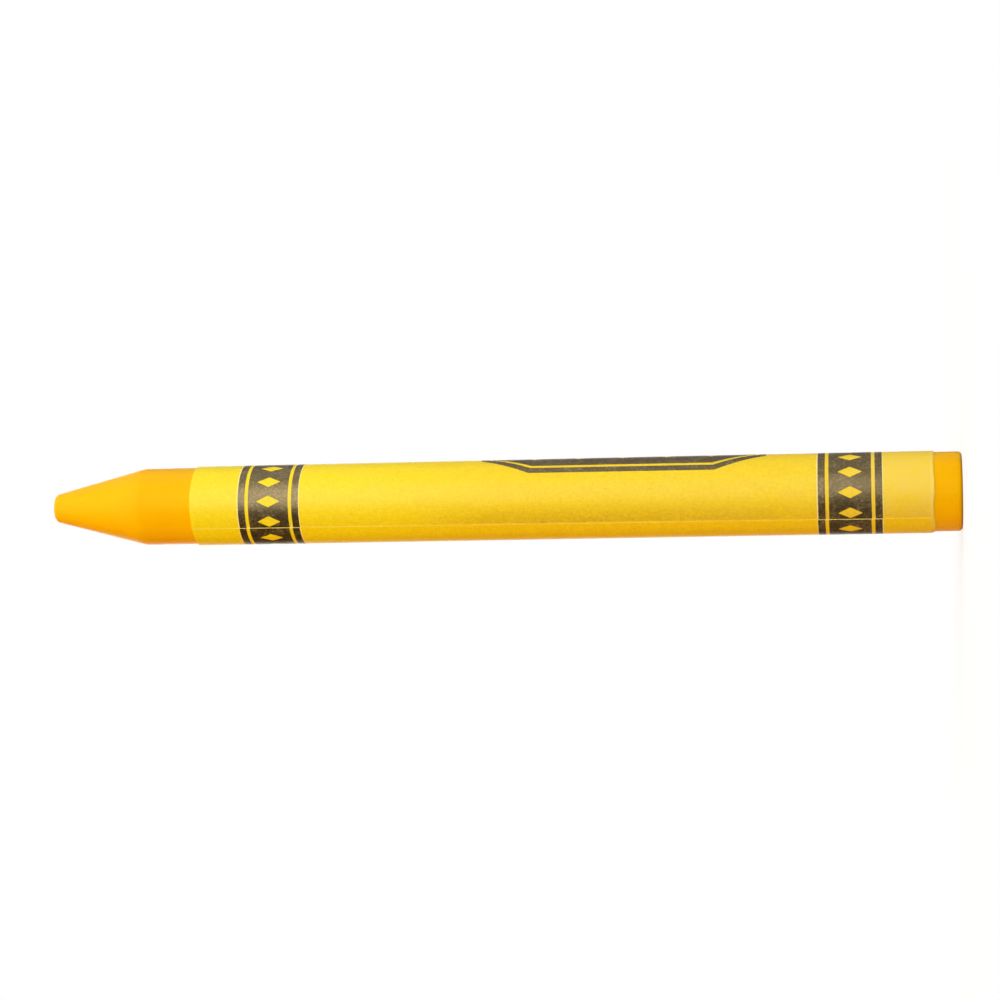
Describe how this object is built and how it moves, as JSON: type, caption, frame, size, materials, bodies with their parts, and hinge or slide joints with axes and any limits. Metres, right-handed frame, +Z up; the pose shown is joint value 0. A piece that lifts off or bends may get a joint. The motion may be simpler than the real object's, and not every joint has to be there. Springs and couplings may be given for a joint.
{
  "type": "wax crayon",
  "caption": "Round orange wax crayon with a flat base and a blunt cone, rolled in a yellow paper label printed with dark bands and a dark panel.",
  "frame": {"origin": "centre of the flat base, where the crayon stands", "axes": "+Z runs up the stick from the base to the tip; the printed panel faces -Y"},
  "size_m": [0.008, 0.0081, 0.092],
  "materials": {
    "wax": "smooth satin orange crayon wax",
    "paper": "uncoated dyed yellow label paper with a fine mottle",
    "ink": "thin flat brown-grey print on the paper"
  },
  "bodies": {
    "root": {"wax_stick": "wax", "paper_wrapper": "paper", "base_band_print": "ink", "tip_band_print": "ink", "panel_print": "ink"}
  },
  "joints": []
}
